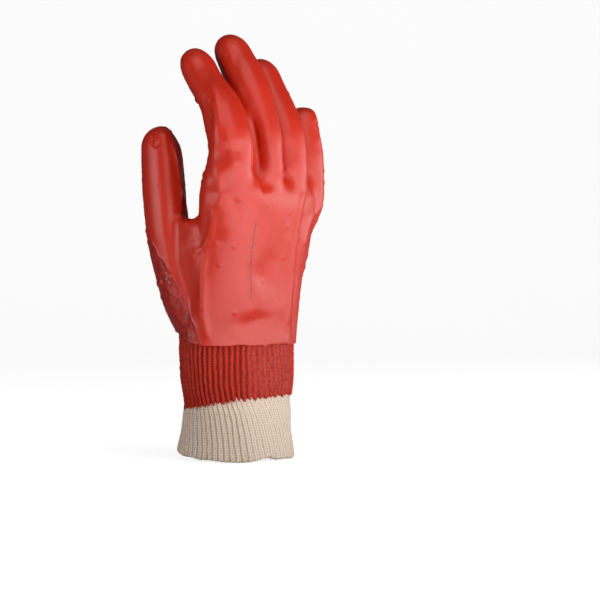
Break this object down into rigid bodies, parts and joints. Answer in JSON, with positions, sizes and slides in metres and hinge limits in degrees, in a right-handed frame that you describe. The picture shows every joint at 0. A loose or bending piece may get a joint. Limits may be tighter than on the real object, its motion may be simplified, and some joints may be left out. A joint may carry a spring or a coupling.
{
  "type": "pvc coated work glove",
  "caption": "Right-hand cotton work glove dipped in PVC, smooth on the back and rough on the palm, with a ribbed knit wrist.",
  "frame": {"origin": "centre of the wrist opening, at the cuff's lowest edge", "axes": "+Z from the wrist opening to the fingertips, -Y the back of the hand, +Y the palm, -X the thumb's side"},
  "size_m": [0.1239, 0.0831, 0.2695],
  "materials": {
    "pvc_coat": "glossy orange-red PVC, smooth on the back and granular on the palm",
    "dipped_rib": "ribbed cotton knit soaked in red PVC, satin",
    "bare_knit": "undyed cotton rib knit"
  },
  "bodies": {
    "root": {"hand_shell": "pvc_coat", "wrist_band": "dipped_rib", "knit_cuff": "bare_knit"}
  },
  "joints": []
}
